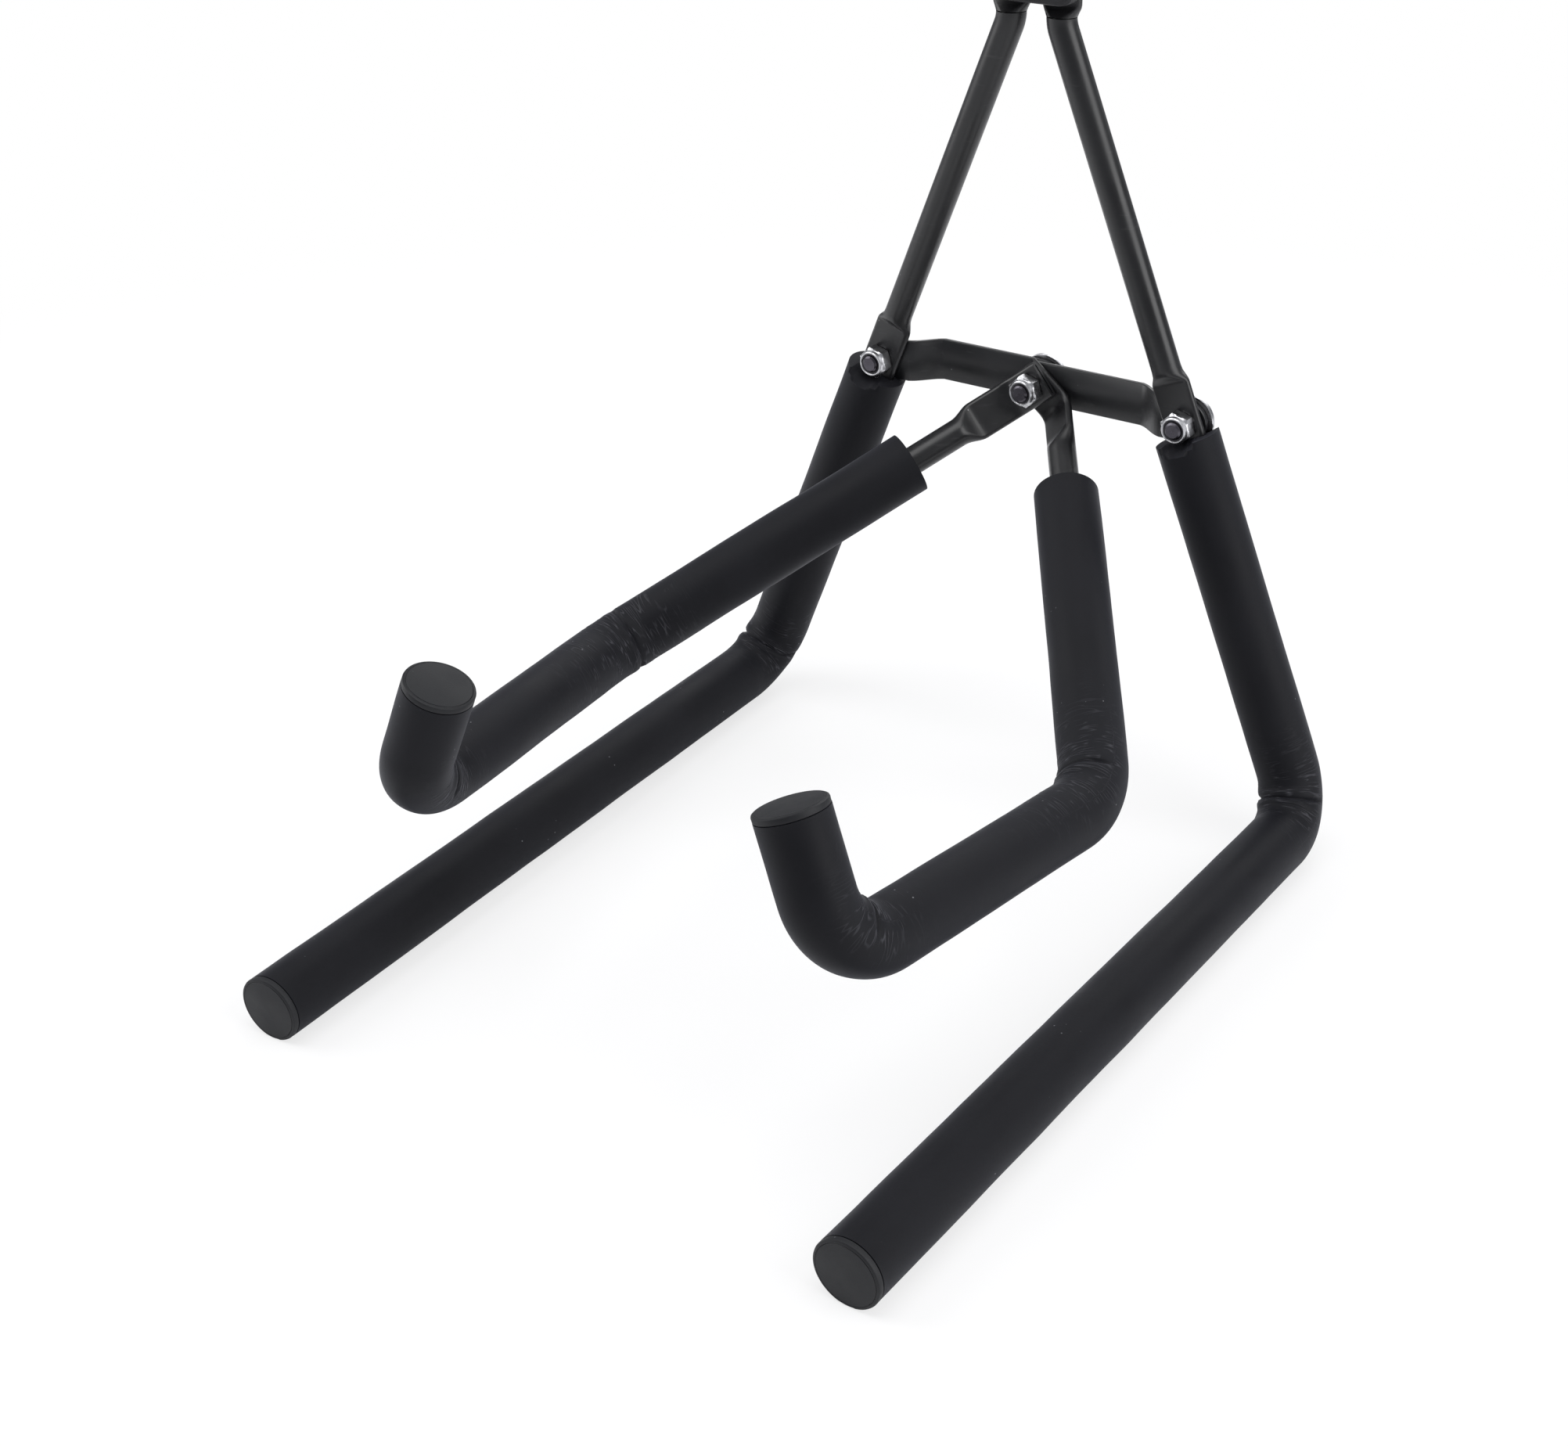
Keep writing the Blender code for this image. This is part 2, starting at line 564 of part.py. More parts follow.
def build_head(finishes, head_holes):
    """Hinge head: two plates, a bolt and nut through each side tube, and the rest pad."""
    steel, foam, plastic, zinc = finishes
    middle = Vector((0, 0, HEAD_PIVOT.z))
    front = add_piece("head_plate_front", head_plate(-PLATE_OUTER, -PLATE_INNER), steel, middle)
    back = add_piece("head_plate_back", head_plate(PLATE_INNER, PLATE_OUTER), steel, middle)
    cut(front, *head_holes)
    cut(back, *head_holes)
    pad = add_piece("rest_pad", head_pad(), plastic, middle)
    head_radius = FLUSH_HEAD_DIAMETER / 2
    for side, word in ((RIGHT, "right"), (LEFT, "left")):
        centre = mirrored(HEAD_PIVOT, side)
        end = HEAD_SEAT + NUT_HEIGHT + BOLT_END_PROUD
        flush = turned(centre, BACKWARD, [(-HEAD_SEAT - FLUSH_HEAD_HEIGHT, head_radius - END_CHAMFER),
                                          (-HEAD_SEAT - FLUSH_HEAD_HEIGHT + END_CHAMFER, head_radius),
                                          (-HEAD_SEAT, head_radius),
                                          (-HEAD_SEAT, BOLT_RADIUS),
                                          (end - END_CHAMFER, BOLT_RADIUS),
                                          (end, BOLT_RADIUS - END_CHAMFER)])
        add_piece(word + "_head_bolt", flush, zinc, centre)
        add_piece(word + "_head_nut", lock_nut(centre, HEAD_SEAT, 1), zinc, centre)
        pocket = cylinder_cutter(word + "_pad_pocket", centre, head_radius + GAP,
                                 -HEAD_SEAT - FLUSH_HEAD_HEIGHT - GAP, 0)
        cut(pad, pocket)


def build():
    clear_scene()
    steel = finish("black_steel", (0.018, 0.018, 0.020), 0.38, 0.6)
    foam = finish("black_foam", (0.022, 0.022, 0.026), 0.75, 0.0)
    plastic = finish("black_plastic", (0.030, 0.031, 0.036), 0.50, 0.0)
    zinc = finish("zinc_steel", (0.62, 0.62, 0.63), 0.30, 1.0)
    strap_steel = finish("strap_steel", (0.028, 0.029, 0.032), 0.42, 0.6)
    finishes = (steel, foam, plastic, zinc)
    floor = floor_cutter()
    centre_hole = cylinder_cutter("centre_hole", STRAP_CENTRE, HOLE_RADIUS, -FOAM_DIAMETER, FOAM_DIAMETER)
    right_hole, right_head_hole = build_side(RIGHT, "right", finishes, floor)
    left_hole, left_head_hole = build_side(LEFT, "left", finishes, floor)
    build_strap(RIGHT, "right", RIGHT_STRAP_FRONT, strap_steel, (right_hole, centre_hole))
    build_strap(LEFT, "left", LEFT_STRAP_FRONT, strap_steel, (left_hole, centre_hole))
    build_centre(zinc)
    build_cradle(RIGHT, "right", REAR_CRADLE_Y, REAR_CRADLE_HANG, finishes, centre_hole)
    build_cradle(LEFT, "left", FRONT_CRADLE_Y, FRONT_CRADLE_HANG, finishes, centre_hole)
    build_head(finishes, (right_head_hole, left_head_hole))


build()
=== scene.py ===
"""Looks of the folding A-frame stand: foam, coated tube, strap, caps and fasteners round its CAD frame."""
import json
import math

import bmesh
import bpy
from mathutils import Matrix, Vector


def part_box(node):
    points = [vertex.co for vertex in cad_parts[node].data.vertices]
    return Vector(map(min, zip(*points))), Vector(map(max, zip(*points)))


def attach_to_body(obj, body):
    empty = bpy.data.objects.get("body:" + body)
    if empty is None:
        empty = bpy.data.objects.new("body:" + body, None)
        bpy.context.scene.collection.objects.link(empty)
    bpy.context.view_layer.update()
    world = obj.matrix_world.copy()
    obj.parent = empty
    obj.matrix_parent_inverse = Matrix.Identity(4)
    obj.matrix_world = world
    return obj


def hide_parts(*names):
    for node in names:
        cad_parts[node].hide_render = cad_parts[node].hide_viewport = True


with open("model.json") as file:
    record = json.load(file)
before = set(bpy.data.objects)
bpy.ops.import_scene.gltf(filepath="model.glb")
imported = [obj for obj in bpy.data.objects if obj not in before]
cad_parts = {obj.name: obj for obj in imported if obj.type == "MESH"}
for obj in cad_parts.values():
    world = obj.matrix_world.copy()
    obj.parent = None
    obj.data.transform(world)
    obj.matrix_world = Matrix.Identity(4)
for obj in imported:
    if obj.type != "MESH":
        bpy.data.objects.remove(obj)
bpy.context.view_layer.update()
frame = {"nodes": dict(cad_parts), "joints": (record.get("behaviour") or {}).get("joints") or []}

MM = 0.001

# Sizes shared with the solids
TUBE_RADIUS = 5.0 * MM
TUBE_WALL = 1.2 * MM
FOAM_RADIUS = 11.0 * MM
CRIMP_HALF = 1.5 * MM
CRIMP_RAMP = 4.8 * MM
CRIMP_END_MARGIN = 6.5 * MM
BEND_RADIUS = 20.0 * MM
UPRIGHT_LEAN = math.radians(22.1)
PIVOT_CRIMP_BELOW = 8.0 * MM
PIVOT_CRIMP_ABOVE = 14.0 * MM
SLEEVE_BELOW_PIVOT = 5.0 * MM
LEG_REACH = 277.4 * MM
LEG_TOE_IN = math.radians(1.65)
HEAD_RISE = 15.5 * MM
HEAD_BEND_RADIUS = 12.0 * MM
HEAD_CRIMP_BELOW = 9.0 * MM
CAP_THICKNESS = 2.4 * MM
AXIS_HEIGHT = 10.5 * MM
GAP = 0.3 * MM
BOLT_RADIUS = 3.0 * MM
HEX_FLATS = 10.0 * MM
BOLT_HEAD_HEIGHT = 4.0 * MM
WASHER_RADIUS = 9.0 * MM
STRAP_HALF_WIDTH = 7.5 * MM
STRAP_THICKNESS = 2.0 * MM
JOGGLE_START = 10.0 * MM
JOGGLE_END = 20.0 * MM

# Cradle bends and tip, right-hand side, from the uprights' plane
CRADLE_REAR_BEND = Vector((94.7, -118.6, 71.2)) * MM
CRADLE_FRONT_BEND = Vector((79.0, -236.8, 75.2)) * MM
CRADLE_TIP = Vector((62.1, -233.0, 118.5)) * MM
CRADLE_REAR_RADIUS = 30.0 * MM
CRADLE_FLAT_END = 24.0 * MM
CRADLE_FLAT_RAMP = 8.0 * MM
CRADLE_SLEEVE_START = 52.0 * MM
CRADLE_HANG_BEND_RADIUS = 8.0 * MM
FRONT_CRADLE_Y = 2.9 * MM
REAR_CRADLE_Y = 6.2 * MM
FRONT_CRADLE_HANG = 9.0 * MM
REAR_CRADLE_HANG = 11.5 * MM

# Mesh fineness
TUBE_SIDES = 40
FOAM_SIDES = 96
FINE_STEP = 0.26 * MM
COARSE_STEP = 2.0 * MM
BEND_ZONE = 27.0 * MM
TUBE_FINE_STEP = 1.0 * MM
TUBE_COARSE_STEP = 8.0 * MM

# Creases inside the bends, in millimetres along the foam: skew tips the crease, bow curves it
SIDE_CREASE = {"depth": 2.0, "width": 0.9, "roll": 3.4, "swell": 0.55, "shift": -1.0, "skew": -1.2,
               "bow": 2.6, "from": -0.45, "spread": (18.0, 15.0)}
REAR_CREASE = {"depth": 1.7, "width": 0.8, "roll": 3.0, "swell": 0.45, "shift": -3.0, "skew": 1.0,
               "bow": 1.5, "from": -0.2, "spread": (18.0, 30.0)}
FRONT_CREASE = {"depth": 1.7, "width": 0.8, "roll": 3.2, "swell": 0.6, "shift": -1.0, "skew": -1.5,
                "bow": 1.8, "from": -0.1, "spread": (13.0, 16.0)}
CREASE_RISE = 0.7
LIPS_CLOSED = 0.75
LIPS_CLOSE_BY = 0.8
ROLL_ABOVE = 2.2
ROLL_BELOW = 2.8
LOWER_ROLL = 0.7
STRETCH_SPREAD = 14.0
STRETCH_FLATTENING = 0.4
CRUMPLE_FROM = -0.85
CRUMPLE_FULL = 0.35

# Foam pressed back round the nut and the washer: radius and soft rim
NUT_DENT = (8.4 * MM, 2.5 * MM, -1)
WASHER_DENT = (9.8 * MM, 0.7 * MM, 1)

joint_at = {joint["name"]: Vector(joint["pos_m"]) for joint in frame["joints"]}
HEAD_PIVOT = joint_at["right_fold"]
PIVOT = joint_at["right_strap_swing"]
STRAP_CENTRE = joint_at["right_cradle_swing"]
PLANE_Y = PIVOT.y
UPRIGHT_UP = Vector((-math.sin(UPRIGHT_LEAN), 0, math.cos(UPRIGHT_LEAN)))
LEG_FORWARD = Vector((-math.sin(LEG_TOE_IN), -math.cos(LEG_TOE_IN), 0))
HEEL = Vector((PIVOT.x + (PIVOT.z - AXIS_HEIGHT) * math.tan(UPRIGHT_LEAN), PLANE_Y, AXIS_HEIGHT))
TOE = HEEL + LEG_FORWARD * (LEG_REACH / math.cos(LEG_TOE_IN))
BACKWARD = Vector((0, 1, 0))
SIDES = ((1, "right"), (-1, "left"))


# Paths

def mirrored(point, side):
    return Vector((point.x * side, point.y, point.z))


def course(corners, side=1, fine=FINE_STEP, coarse=COARSE_STEP):
    """Dense stations along straight runs and arcs, and the bends.

    A station is a point, direction, flatness and distance; a bend is a distance, inner side and turn.
    """
    corners = [(mirrored(point, side), radius, flatness) for point, radius, flatness in corners]
    pieces = []
    start = corners[0][0]
    for before, here, after in zip(corners, corners[1:], corners[2:]):
        corner, radius, flatness = here
        into = (corner - before[0]).normalized()
        out = (after[0] - corner).normalized()
        turn = into.angle(out)
        if radius == 0 or turn < 1e-4:
            pieces.append(("line", start, corner, before[2], flatness, None))
            start = corner
            continue
        axis = into.cross(out).normalized()
        reach = radius * math.tan(turn / 2)
        begin = corner - into * reach
        pieces.append(("line", start, begin, before[2], flatness, None))
        pieces.append(("arc", begin, begin + axis.cross(into) * radius, axis, turn, into))
        start = corner + out * reach
    pieces.append(("line", start, corners[-1][0], corners[-2][2], corners[-1][2], None))
    stations = []
    travelled = 0.0
    bends = []
    for piece in pieces:
        if piece[0] == "line":
            _, first, last, flat_a, flat_b, _ = piece
            length = (last - first).length
            direction = (last - first).normalized()
            steps = max(1, math.ceil(length / fine))
            for step in range(steps):
                share = step / steps
                smooth = share * share * (3 - 2 * share)
                stations.append([first.lerp(last, share), direction, flat_a + (flat_b - flat_a) * smooth,
                                 travelled + length * share])
            travelled += length
            end = [last, direction, flat_b, travelled]
        else:
            _, begin, centre, axis, turn, into = piece
            radius = (begin - centre).length
            length = radius * turn
            steps = max(2, math.ceil(length / fine))
            for step in range(steps):
                rotation = Matrix.Rotation(turn * step / steps, 3, axis)
                stations.append([centre + rotation @ (begin - centre), rotation @ into, stations[-1][2],
                                 travelled + length * step / steps])
            middle = Matrix.Rotation(turn / 2, 3, axis)
            inside = (centre - (centre + middle @ (begin - centre))).normalized()
            bends.append((travelled + length / 2, inside, turn))
            travelled += length
    stations.append(end)
    return thin_out(stations, bends, coarse), bends


def thin_out(stations, bends, coarse):
    """Keep every station near a bend and only some on the long straight runs."""
    kept = [stations[0]]
    for station in stations[1:-1]:
        near = min((abs(station[3] - bend[0]) for bend in bends), default=1.0)
        changing = abs(station[2] - kept[-1][2]) > 0.02
        if near < BEND_ZONE or changing or station[3] - kept[-1][3] >= coarse:
            kept.append(station)
    kept.append(stations[-1])
    return kept


def side_corners():
    def on_upright(distance, flatness):
        return (PIVOT + UPRIGHT_UP * distance, 0, flatness)

    def under_head(distance, flatness):
        return (HEAD_PIVOT - Vector((0, 0, distance)), 0, flatness)

    return [under_head(-CRIMP_END_MARGIN, 1.0),
            under_head(HEAD_CRIMP_BELOW, 1.0),
            under_head(HEAD_CRIMP_BELOW + CRIMP_RAMP, 0.0),
            (HEAD_PIVOT - Vector((0, 0, HEAD_RISE)), HEAD_BEND_RADIUS, 0.0),
            on_upright(PIVOT_CRIMP_ABOVE + CRIMP_RAMP, 0.0),
            on_upright(PIVOT_CRIMP_ABOVE, 1.0),
            on_upright(-PIVOT_CRIMP_BELOW, 1.0),
            on_upright(-PIVOT_CRIMP_BELOW - CRIMP_RAMP, 0.0),
            (HEEL, BEND_RADIUS, 0.0),
            (TOE - LEG_FORWARD * (CAP_THICKNESS + GAP), 0, 0.0)]


def side_sleeve_corners():
    return [(PIVOT - UPRIGHT_UP * SLEEVE_BELOW_PIVOT, 0, 1.0),
            (PIVOT - UPRIGHT_UP * PIVOT_CRIMP_BELOW, 0, 1.0),
            (PIVOT - UPRIGHT_UP * (PIVOT_CRIMP_BELOW + CRIMP_RAMP), 0, 0.0),
            (HEEL, BEND_RADIUS, 0.0),
            (TOE - LEG_FORWARD * (CAP_THICKNESS + GAP), 0, 0.0)]


def cradle_points(layer, hang):
    plane = Vector((0, PLANE_Y, 0))
    centre = STRAP_CENTRE + Vector((0, layer, 0))
    rear = CRADLE_REAR_BEND + plane
    down = Vector((rear.x - centre.x, 0, rear.z - centre.z)).normalized()
    bend = centre + down * hang
    along = (rear - bend).normalized()

    def on_post(distance):
        return bend + along * (distance - hang)

    front = CRADLE_FRONT_BEND + plane
    tip = CRADLE_TIP + plane
    end = tip - (tip - front).normalized() * (CAP_THICKNESS + GAP)
    return centre, down, bend, on_post, rear, front, end


def cradle_corners(layer, hang):
    centre, down, bend, on_post, rear, front, end = cradle_points(layer, hang)
    return [(centre - down * CRIMP_END_MARGIN, 0, 1.0),
            (bend, CRADLE_HANG_BEND_RADIUS, 1.0),
            (on_post(CRADLE_FLAT_END), 0, 1.0),
            (on_post(CRADLE_FLAT_END + CRADLE_FLAT_RAMP), 0, 0.0),
            (rear, CRADLE_REAR_RADIUS, 0.0),
            (front, BEND_RADIUS, 0.0),
            (end, 0, 0.0)]


def cradle_sleeve_corners(layer, hang):
    *_, on_post, rear, front, end = cradle_points(layer, hang)
    return [(on_post(CRADLE_SLEEVE_START), 0, 0.0),
            (rear, CRADLE_REAR_RADIUS, 0.0),
            (front, BEND_RADIUS, 0.0),
            (end, 0, 0.0)]


# Meshes

def new_object(name, shape, material, smooth_angle=40):
    mesh = bpy.data.meshes.new(name)
    shape.to_mesh(mesh)
    shape.free()
    mesh.shade_smooth()
    mesh.set_sharp_from_angle(angle=math.radians(smooth_angle))
    mesh.materials.append(material)
    obj = bpy.data.objects.new(name, mesh)
    bpy.context.scene.collection.objects.link(obj)
    return obj


def skin(shape, rings, closed):
    loops = [[shape.verts.new(point) for point in ring] for ring in rings]
    pairs = list(zip(loops, loops[1:]))
    if closed:
        pairs.append((loops[-1], loops[0]))
    count = len(loops[0])
    for near, far in pairs:
        for index in range(count):
            following = (index + 1) % count
            shape.faces.new((near[index], near[following], far[following], far[index]))
    if not closed:
        shape.faces.new(loops[0][::-1])
        shape.faces.new(loops[-1])
    bmesh.ops.recalc_face_normals(shape, faces=shape.faces)
    return loops


def frames_along(stations):
    """Width and thickness directions at each station, carried along without twist."""
    previous = stations[0][1]
    thickness = (BACKWARD - previous * previous.dot(BACKWARD)).normalized()
    for station in stations:
        direction = station[1]
        thickness = previous.rotation_difference(direction) @ thickness
        yield station, direction.cross(thickness).normalized(), thickness
        previous = direction


def slot_outline(flatness, growth, sides):
    half = TUBE_RADIUS + (CRIMP_HALF - TUBE_RADIUS) * flatness
    straight = math.pi * (TUBE_RADIUS - half) / 2
    outline = []
    for index in range(sides):
        angle = 2 * math.pi * (index + 0.5) / sides
        across = (half + growth) * math.cos(angle)
        outline.append((across + math.copysign(straight, across), (half + growth) * math.sin(angle)))
    return outline


def tube_piece(name, corners, side, material):
    stations, _ = course(corners, side, TUBE_FINE_STEP, TUBE_COARSE_STEP)
    outer, inner = [], []
    for station, width, thickness in frames_along(stations):
        point, _, flatness, _ = station
        for rings, growth in ((outer, 0.0), (inner, -TUBE_WALL)):
            outline = slot_outline(flatness, growth, TUBE_SIDES)
            rings.append([point + width * u + thickness * v for u, v in outline])
    shape = bmesh.new()
    skin(shape, outer + inner[::-1], closed=True)
    return new_object(name, shape, material)


def crease_shape(off, facing, crease):
    """Outward move of the skin, in millimetres, where a crease and its rolled folds cross it."""
    inner = smooth_step(crease["from"], crease["from"] + CREASE_RISE, facing)
    closed = 1.0 - LIPS_CLOSED * smooth_step(0.0, LIPS_CLOSE_BY, facing)
    groove = math.exp(-(off / crease["width"]) ** 2) * inner * closed
    above = math.exp(-((off - crease["roll"]) / ROLL_ABOVE) ** 2)
    below = math.exp(-((off + crease["roll"]) / ROLL_BELOW) ** 2)
    flattened = math.exp(-(off / STRETCH_SPREAD) ** 2) * max(0.0, -facing) ** 2
    swelling = crease["swell"] * inner * (above + LOWER_ROLL * below)
    return -crease["depth"] * groove + swelling - STRETCH_FLATTENING * flattened


def sleeve_piece(name, corners, side, material, creases, start, dents=(), floor=False):
    """Foam with its creases pressed in; arc, around and crumple attributes steer the wrinkles."""
    stations, bends = course(corners, side)
    outer, inner, marks = [], [], []
    for station, width, thickness in frames_along(stations):
        point, direction, flatness, arc = station
        ring = []
        for index in range(FOAM_SIDES):
            angle = 2 * math.pi * (index + 0.5) / FOAM_SIDES
            outward = width * math.cos(angle) + thickness * math.sin(angle)
            reach = FOAM_RADIUS
            crumple = 0.0
            for (middle, inside, _), crease in zip(bends, creases):
                facing = outward.dot(inside)
                aside = outward.cross(inside).dot(direction)
                off = (arc - middle) / MM - crease["shift"] + crease["skew"] * side * aside
                off += crease["bow"] * (1 - facing)
                before, after = crease["spread"]
                fade = math.exp(-(off / (after if off > 0 else before)) ** 2)
                crumple += fade * smooth_step(CRUMPLE_FROM, CRUMPLE_FULL, facing)
                reach += crease_shape(off, facing, crease) * MM
            place = point + outward * reach
            for centre, radius, rim, sign in dents:
                aside = math.hypot(place.x - centre.x, place.z - centre.z)
                limit = centre.y + sign * (CRIMP_HALF + GAP)
                if aside < radius and sign * (place.y - limit) > 0:
                    place.y += (limit - place.y) * smooth_step(radius, radius - rim, aside)
            if floor:
                place.z = max(place.z, 0.0)
            ring.append(place)
            marks.append((arc + start, angle, min(1.0, crumple)))
        outer.append(ring)
        hollow = slot_outline(flatness, GAP, FOAM_SIDES)
        inner.append([point + width * u + thickness * v for u, v in hollow])
    shape = bmesh.new()
    skin(shape, outer + inner[::-1], closed=True)
    obj = new_object(name, shape, material, smooth_angle=60)
    total = len(obj.data.vertices)
    for part, label in enumerate(("arc", "around", "crumple")):
        values = [mark[part] for mark in marks]
        values += [0.0] * (total - len(values))
        obj.data.attributes.new(label, "FLOAT", "POINT").data.foreach_set("value", values)
    return obj


def smooth_step(low, high, value):
    share = max(0.0, min(1.0, (value - low) / (high - low)))
    return share * share * (3 - 2 * share)


def turned_piece(name, base, direction, profile, material, sides=64, closed=False):
    """Lathe of (distance, radius or callable of angle) steps."""
    across = direction.orthogonal().normalized()
    up = direction.cross(across)
    rings = []
    for distance, radius in profile:
        ring = []
        for index in range(sides):
            angle = 2 * math.pi * index / sides
            reach = radius(angle) if callable(radius) else radius
            outward = across * math.cos(angle) + up * math.sin(angle)
            ring.append(base + direction * distance + outward * reach)
        rings.append(ring)
    shape = bmesh.new()
    skin(shape, rings, closed)
    return new_object(name, shape, material, smooth_angle=28)


def hexagon(trim):
    """Hexagon radius by angle, limited to a circle so that the corners are chamfered."""
    def reach(angle):
        sixth = math.pi / 3
        flat = HEX_FLATS / 2 / math.cos(angle % sixth - sixth / 2)
        return min(flat, trim)
    return reach


HEX_CORNER = HEX_FLATS / 2 / math.cos(math.pi / 6)
HEX_FACE = HEX_FLATS / 2 * 0.97
HEX_CHAMFER = 0.5 * MM


def hex_steps(start, height):
    """Hexagonal block with both ends chamfered to a circle."""
    return [(start, hexagon(HEX_FACE)),
            (start + HEX_CHAMFER, hexagon(HEX_CORNER)),
            (start + height - HEX_CHAMFER, hexagon(HEX_CORNER)),
            (start + height, hexagon(HEX_FACE))]


# Node helpers

def add_node(tree, kind, inputs=None, **settings):
    node = tree.nodes.new(kind)
    for key, value in settings.items():
        setattr(node, key, value)
    for key, value in (inputs or {}).items():
        if isinstance(value, bpy.types.NodeSocket):
            tree.links.new(value, node.inputs[key])
        else:
            node.inputs[key].default_value = value
    return node


def math_node(tree, operation, first, second=None, clamp=False):
    inputs = {0: first}
    if second is not None:
        inputs[1] = second
    return add_node(tree, "ShaderNodeMath", inputs, operation=operation, use_clamp=clamp).outputs[0]


def ramp(tree, value, low, high, to_low=0.0, to_high=1.0):
    return add_node(tree, "ShaderNodeMapRange", {"Value": value, "From Min": low, "From Max": high,
                                                 "To Min": to_low, "To Max": to_high}).outputs["Result"]


def group_tree(name, inputs, outputs):
    tree = bpy.data.node_groups.new(name, "ShaderNodeTree")
    for label, value in inputs:
        socket = tree.interface.new_socket(label, in_out="INPUT", socket_type="NodeSocketFloat")
        socket.default_value = value
    for label in outputs:
        tree.interface.new_socket(label, in_out="OUTPUT", socket_type="NodeSocketFloat")
    return tree, tree.nodes.new("NodeGroupInput"), tree.nodes.new("NodeGroupOutput")


def make_grain_group():
    """Fine grain height and a soft blotch mask, from Object coordinates."""
    inputs = [("Scale", 900.0), ("Blotch Scale", 30.0)]
    tree, given, result = group_tree("fine_grain", inputs, ["Height", "Blotch"])
    place = add_node(tree, "ShaderNodeTexCoord").outputs["Object"]
    fine = add_node(tree, "ShaderNodeTexNoise",
                    {"Vector": place, "Scale": given.outputs["Scale"], "Detail": 3.0})
    broad = add_node(tree, "ShaderNodeTexNoise", {"Vector": place, "Scale": given.outputs["Blotch Scale"],
                                                  "Detail": 4.0})
    tree.links.new(fine.outputs["Fac"], result.inputs["Height"])
    tree.links.new(ramp(tree, broad.outputs["Fac"], 0.35, 0.65), result.inputs["Blotch"])
    return tree


def make_dust_group():
    """Pale dust specks and short scuffs, as two masks from Object coordinates."""
    tree, given, result = group_tree("dust_and_scuffs", [("Dust", 0.5), ("Scuffs", 0.5)], ["Dust", "Scuffs"])
    place = add_node(tree, "ShaderNodeTexCoord").outputs["Object"]
    cells = add_node(tree, "ShaderNodeTexVoronoi", {"Vector": place, "Scale": 330.0}, feature="F1")
    patches = add_node(tree, "ShaderNodeTexNoise", {"Vector": place, "Scale": 45.0, "Detail": 2.0})
    speck = ramp(tree, cells.outputs["Distance"], 0.10, 0.05)
    lit = ramp(tree, patches.outputs["Fac"], 0.60, 0.66)
    dust = math_node(tree, "MULTIPLY", math_node(tree, "MULTIPLY", speck, lit),
                     given.outputs["Dust"], clamp=True)
    stretched = add_node(tree, "ShaderNodeMapping", {"Vector": place, "Scale": (1.0, 1.0, 6.0)}).outputs[0]
    streak = add_node(tree, "ShaderNodeTexNoise", {"Vector": stretched, "Scale": 120.0, "Detail": 5.0})
    scuff = ramp(tree, streak.outputs["Fac"], 0.62, 0.72)
    scuff = math_node(tree, "MULTIPLY", scuff, given.outputs["Scuffs"], clamp=True)
    tree.links.new(dust, result.inputs["Dust"])
    tree.links.new(scuff, result.inputs["Scuffs"])
    return tree


WRINKLE_SCALE = 760.0
WRINKLE_TURN = 0.0016
PATCH_SCALE = 220.0
PATCH_TURN = 0.009
GRAIN = make_grain_group()
DUST = make_dust_group()


def place_group(tree, group, **values):
    node = tree.nodes.new("ShaderNodeGroup")
    node.node_tree = group
    for label, value in values.items():
        node.inputs[label.replace("_", " ")].default_value = value
    return node


def base_material(name):
    material = bpy.data.materials.new(name)
    material.use_nodes = True
    tree = material.node_tree
    return material, tree, tree.nodes["Principled BSDF"]


def mixed_color(tree, factor, first, second):
    node = tree.nodes.new("ShaderNodeMix")
    node.data_type = "RGBA"
    tree.links.new(factor, node.inputs["Factor"])
    for key, value in ((6, first), (7, second)):
        if isinstance(value, bpy.types.NodeSocket):
            tree.links.new(value, node.inputs[key])
        else:
            node.inputs[key].default_value = (*value, 1.0)
    return node.outputs[2]


def bump(tree, height, distance, strength, shader):
    node = add_node(tree, "ShaderNodeBump", {"Height": height, "Distance": distance, "Strength": strength})
    tree.links.new(node.outputs["Normal"], shader.inputs["Normal"])


def wrinkle_lines(tree, arc, around, crumple):
    """Short raised lines running round the foam: thin contours of a stretched noise, kept in patches."""
    cosine = math_node(tree, "COSINE", around)
    sine = math_node(tree, "SINE", around)

    def round_noise(turn, scale, detail):
        place = {0: arc, 1: math_node(tree, "MULTIPLY", cosine, turn),
                 2: math_node(tree, "MULTIPLY", sine, turn)}
        vector = add_node(tree, "ShaderNodeCombineXYZ", place).outputs[0]
        settings = {"Vector": vector, "Scale": scale, "Detail": detail}
        return add_node(tree, "ShaderNodeTexNoise", settings).outputs["Fac"]

    lines = round_noise(WRINKLE_TURN, WRINKLE_SCALE, 0.0)
    away = math_node(tree, "ABSOLUTE", math_node(tree, "SUBTRACT", lines, 0.5))
    line = ramp(tree, away, 0.060, 0.0)
    kept = ramp(tree, round_noise(PATCH_TURN, PATCH_SCALE, 1.0), 0.44, 0.60)
    return math_node(tree, "MULTIPLY", math_node(tree, "MULTIPLY", line, kept), crumple)


